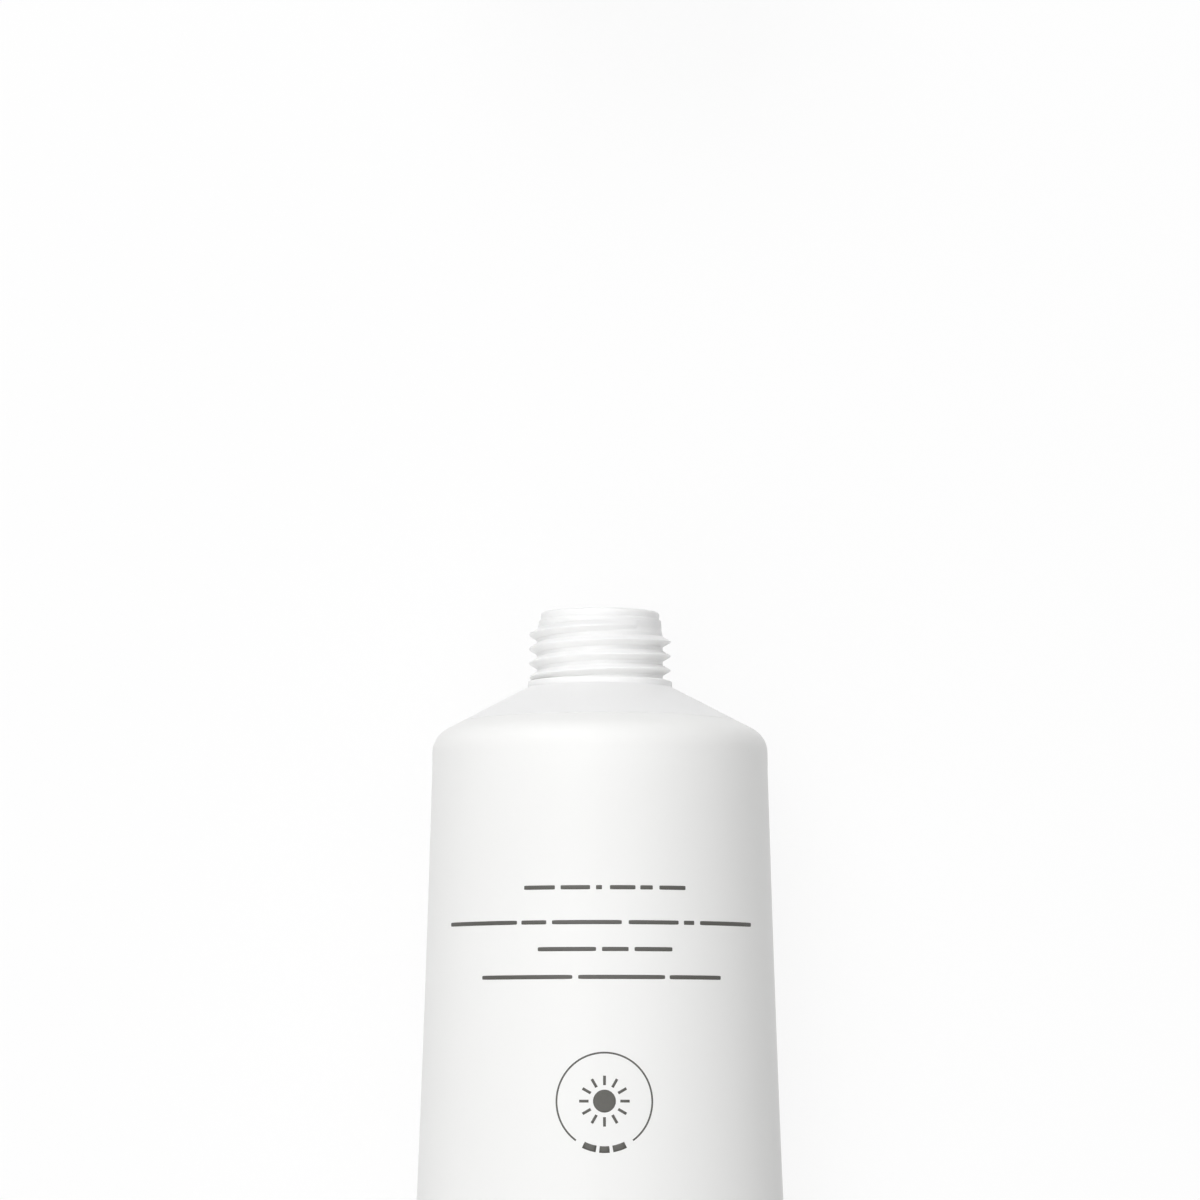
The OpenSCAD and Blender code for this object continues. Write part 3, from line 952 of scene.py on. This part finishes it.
def bar_grids(form, prints):
    """Each bar as a patch of the sleeve's face, with ends rounded as h * (1 - s^n) to the power 1 / n."""
    squareness, last_s = 12, 0.999
    s = np.sin(np.linspace(-1, 1, 25) * math.pi / 2)
    across = np.linspace(-0.5, 0.5, 4)[:, None]
    grids = []
    for drop, bars in PRINT_ROWS:
        for start, end in bars:
            girth = ((start + end) / 2 + (end - start) / 2 * s) * MM
            half = prints.bar_h * (1 - last_s * np.abs(s) ** squareness) ** (1 / squareness)
            below = drop * MM + across * half
            grids.append(form.on_sleeve(np.broadcast_to(girth, below.shape), below, SHEET_LIFT))
    return grids


def arc_grid(form, prints, radii, angles):
    """A patch of the sleeve's face between two radii and two angles about the sun's centre.

    The angle runs from the side away from the neck, towards +X.
    """
    step = math.radians(4)
    a = np.linspace(*angles, 1 + max(2, int(abs(angles[1] - angles[0]) / step)))
    r = np.linspace(*radii, 4)[:, None]
    return form.on_sleeve(SUN_SIDE + r * np.sin(a), prints.sun_place + r * np.cos(a), SHEET_LIFT)


def sun_grids(form, prints):
    """The sun: a disc, its rays, a thin ring with a gap away from the neck, and three short bars in it.

    The disc is a square patch drawn round: (u, v) goes to (u sqrt(1 - v² / 2), v sqrt(1 - u² / 2)).
    """
    half_line = prints.ring_line / 2
    gap = math.radians(RING_GAP)
    u, v = np.meshgrid(*[np.linspace(-1, 1, 13)] * 2)
    disc_x, disc_y = u * np.sqrt(1 - v ** 2 / 2), v * np.sqrt(1 - u ** 2 / 2)
    girth, below = SUN_SIDE + prints.disc_r * disc_x, prints.sun_place + prints.disc_r * disc_y
    line_radii = (prints.ring_r - half_line, prints.ring_r + half_line)
    grids = [
        form.on_sleeve(girth, below, SHEET_LIFT),
        arc_grid(form, prints, line_radii, (gap, FULL_TURN - gap)),
    ]
    half_bar = prints.bar_h * RING_BAR_SHARE
    bar_radii = (prints.ring_r - half_bar, prints.ring_r + half_bar)
    for ends in np.radians(RING_BARS):
        grids.append(arc_grid(form, prints, bar_radii, ends))
    along = np.linspace(prints.ray_start, prints.ray_end, 5)[:, None]
    side = np.linspace(-0.5, 0.5, 4) * prints.ray_w
    for turn in np.arange(prints.ray_count) / prints.ray_count * FULL_TURN:
        girth = along * math.sin(turn) + side * math.cos(turn)
        below = prints.sun_place + along * math.cos(turn) - side * math.sin(turn)
        grids.append(form.on_sleeve(SUN_SIDE + girth, below, SHEET_LIFT))
    return grids


# Ways of the panels, as degrees to the right and towards the neck
PANEL_WAYS = {"high": (-22, 43), "key": (-13, 5), "low": (-22, -35), "fill": (21, 5)}


class TubeOperator(bpy.types.Operator):
    """A step that reads the sizes and makes pieces."""

    bl_options = {"REGISTER", "UNDO"}

    def execute(self, context):
        self.make(context.scene, TubeForm(context.scene.tube_sizes, context.scene.cap_sizes))
        return {"FINISHED"}


class TUBE_OT_sleeve(TubeOperator):
    """Makes the sleeve's wall and its crimp"""

    bl_idname = "tube.sleeve"
    bl_label = "Sleeve"

    def make(self, scene, form):
        film = film_finish(scene.finish_colours)
        dress(solid_mesh("sleeve_skin", [sleeve_grid(form)]), "tube", film, ["sleeve"])
        dress(solid_mesh("crimp_band", [crimp_grid(form)]), "tube", film)


class TUBE_OT_neck(TubeOperator):
    """Makes the shoulder with its threaded neck"""

    bl_idname = "tube.neck"
    bl_label = "Shoulder and neck"

    def make(self, scene, form):
        colours = scene.finish_colours
        moulded = moulded_finish("moulded_neck", colours.moulded, colours)
        neck = solid_mesh("neck_moulding", [neck_grid(form)], ring=True)
        dress(neck, "tube", moulded, ["shoulder_neck"])


class TUBE_OT_gel(TubeOperator):
    """Makes the gel inside the tube"""

    bl_idname = "tube.gel"
    bl_label = "Gel"

    def make(self, scene, form):
        gel = solid_mesh("gel_fill", [gel_grid(form)])
        dress(gel, "tube", gel_finish(scene.finish_colours), ["contents"])


class TUBE_OT_cap(TubeOperator):
    """Makes the screw cap with its ribs"""

    bl_idname = "tube.cap"
    bl_label = "Cap"

    def make(self, scene, form):
        colours = scene.finish_colours
        moulded = moulded_finish("moulded_cap", colours.cap, colours)
        dress(solid_mesh("cap_moulding", [cap_grid(form)]), "cap", moulded, ["cap"])
        dress(solid_mesh("cap_ribs", rib_grids(form)), "cap", moulded)


class TUBE_OT_liner(TubeOperator):
    """Makes the liner in the cap"""

    bl_idname = "tube.liner"
    bl_label = "Liner"

    def make(self, scene, form):
        disc = solid_mesh("liner_disc", [liner_grid(form)])
        dress(disc, "liner", liner_finish(scene.finish_colours), ["cap_liner"])


class TUBE_OT_print(TubeOperator):
    """Makes the printed bars and the sun"""

    bl_idname = "tube.print"
    bl_label = "Print"

    def make(self, scene, form):
        prints = scene.print_sizes
        ink = ink_finish(scene.finish_colours)
        dress(sheet_mesh("print_bars", bar_grids(form, prints), prints.film), "tube", ink)
        dress(sheet_mesh("print_sun", sun_grids(form, prints), prints.film), "tube", ink)


class TUBE_OT_studio(TubeOperator):
    """Sets the floor, the light and the camera"""

    bl_idname = "tube.studio"
    bl_label = "Studio"

    def make(self, scene, form):
        studio = scene.studio_sizes
        self.floor(studio)
        self.room(scene, studio)
        centre = Vector((0, studio.aim_y, form.axis_h))
        for name, (turn, lean) in PANEL_WAYS.items():
            self.panel(name, studio, centre, math.radians(turn), math.radians(lean))
        self.camera(scene, studio, form)
        scene.view_settings.view_transform = "Standard"

    @staticmethod
    def floor(studio):
        """A pale floor just below the part. The camera and reflections see it mixed with plain white."""
        reach, drop = 3.0, 0.05 * MM
        corners = [(x * reach, y * reach, -drop) for x, y in ((-1, -1), (1, -1), (1, 1), (-1, 1))]
        mesh = bpy.data.meshes.new("floor")
        mesh.from_pydata(corners, [], [(0, 1, 2, 3)])
        finish = Finish("pale_floor")
        paint = finish.node("ShaderNodeBsdfDiffuse", None, {"Color": (0.9, 0.9, 0.9, 1)})[0]
        white = finish.node("ShaderNodeEmission", None, {"Color": (1, 1, 1, 1), "Strength": 1.0})[0]
        glow = finish.seen_directly() * studio.floor_glow
        mixed = finish.node("ShaderNodeMixShader", None, {0: glow, 1: paint, 2: white})[0]
        finish.node("ShaderNodeOutputMaterial", None, {"Surface": mixed})
        mesh.materials.append(finish.material)
        placed("floor", mesh)

    @staticmethod
    def room(scene, studio):
        """An even room: white to the camera, in gloss and through clear parts, and softer as light."""
        world = bpy.data.worlds.new("room")
        scene.world = world
        nodes = Nodes(world)
        strength = nodes.seen_directly() * (1 - studio.room_level) + studio.room_level
        glow = nodes.node("ShaderNodeBackground", None, {"Strength": strength})[0]
        nodes.node("ShaderNodeOutputWorld", None, {"Surface": glow})

    @staticmethod
    def panel(name, studio, centre, turn, lean):
        """A panel of light that faces the centre, turned to the right of it and leant towards the neck.

        Its way is (sin turn cos lean, sin lean, cos turn cos lean), and its power grows with the square of
        its distance.
        """
        light = bpy.data.lights.new(name + "_panel", "AREA")
        light.shape = "RECTANGLE"
        light.size, light.size_y = studio.panel_w, studio.panel_h
        light.energy = getattr(studio, name + "_level") * (math.pi * studio.panel_d) ** 2
        lamp = placed(name + "_panel", light)
        across = math.cos(lean)
        way = Vector((math.sin(turn) * across, math.sin(lean), math.cos(turn) * across))
        lamp.location = centre + way * studio.panel_d
        lamp.rotation_euler = way.to_track_quat("Z", "Y").to_euler()

    @staticmethod
    def camera(scene, studio, form):
        """A camera above the tube, tilted towards the neck."""
        lens = bpy.data.cameras.new("camera")
        lens.sensor_width = 36
        lens.lens = lens.sensor_width / 2 / math.tan(studio.field / 2)
        lens.clip_start, lens.clip_end = 0.01, 20
        camera = placed("camera", lens)
        camera.location = (0, studio.camera_y, form.axis_h + studio.camera_rise)
        camera.rotation_euler = (math.atan2(studio.aim_y - studio.camera_y, studio.camera_rise), 0, 0)
        scene.camera = camera


class TUBE_PT_panel(bpy.types.Panel):
    """The tube's sizes and steps in the sidebar"""

    bl_idname = "TUBE_PT_panel"
    bl_label = "Squeeze Tube"
    bl_space_type = "VIEW_3D"
    bl_region_type = "UI"
    bl_category = "Squeeze Tube"

    def draw(self, context):
        for group in GROUPS:
            sizes = getattr(context.scene, group)
            box = self.layout.box()
            for name in sizes.__annotations__:
                box.prop(sizes, name)
        for step in STEPS:
            self.layout.operator(step.bl_idname)


GROUPS = {
    "tube_sizes": TubeSizes,
    "cap_sizes": CapSizes,
    "print_sizes": PrintSizes,
    "finish_colours": FinishColours,
    "studio_sizes": StudioSizes,
}
STEPS = (
    TUBE_OT_sleeve, TUBE_OT_neck, TUBE_OT_gel, TUBE_OT_cap, TUBE_OT_liner, TUBE_OT_print, TUBE_OT_studio,
)


def register():
    """Registers the property groups, the operators and the panel."""
    for name, group in GROUPS.items():
        bpy.utils.register_class(group)
        setattr(bpy.types.Scene, name, PointerProperty(type=group))
    for step in (*STEPS, TUBE_PT_panel):
        bpy.utils.register_class(step)


def unregister():
    """Takes them off again."""
    for step in (TUBE_PT_panel, *reversed(STEPS)):
        bpy.utils.unregister_class(step)
    for name, group in GROUPS.items():
        delattr(bpy.types.Scene, name)
        bpy.utils.unregister_class(group)


def main():
    """Makes every piece and the studio."""
    register()
    for step in STEPS:
        kind, name = step.bl_idname.split(".")
        getattr(getattr(bpy.ops, kind), name)()


if __name__ == "__main__":
    main()
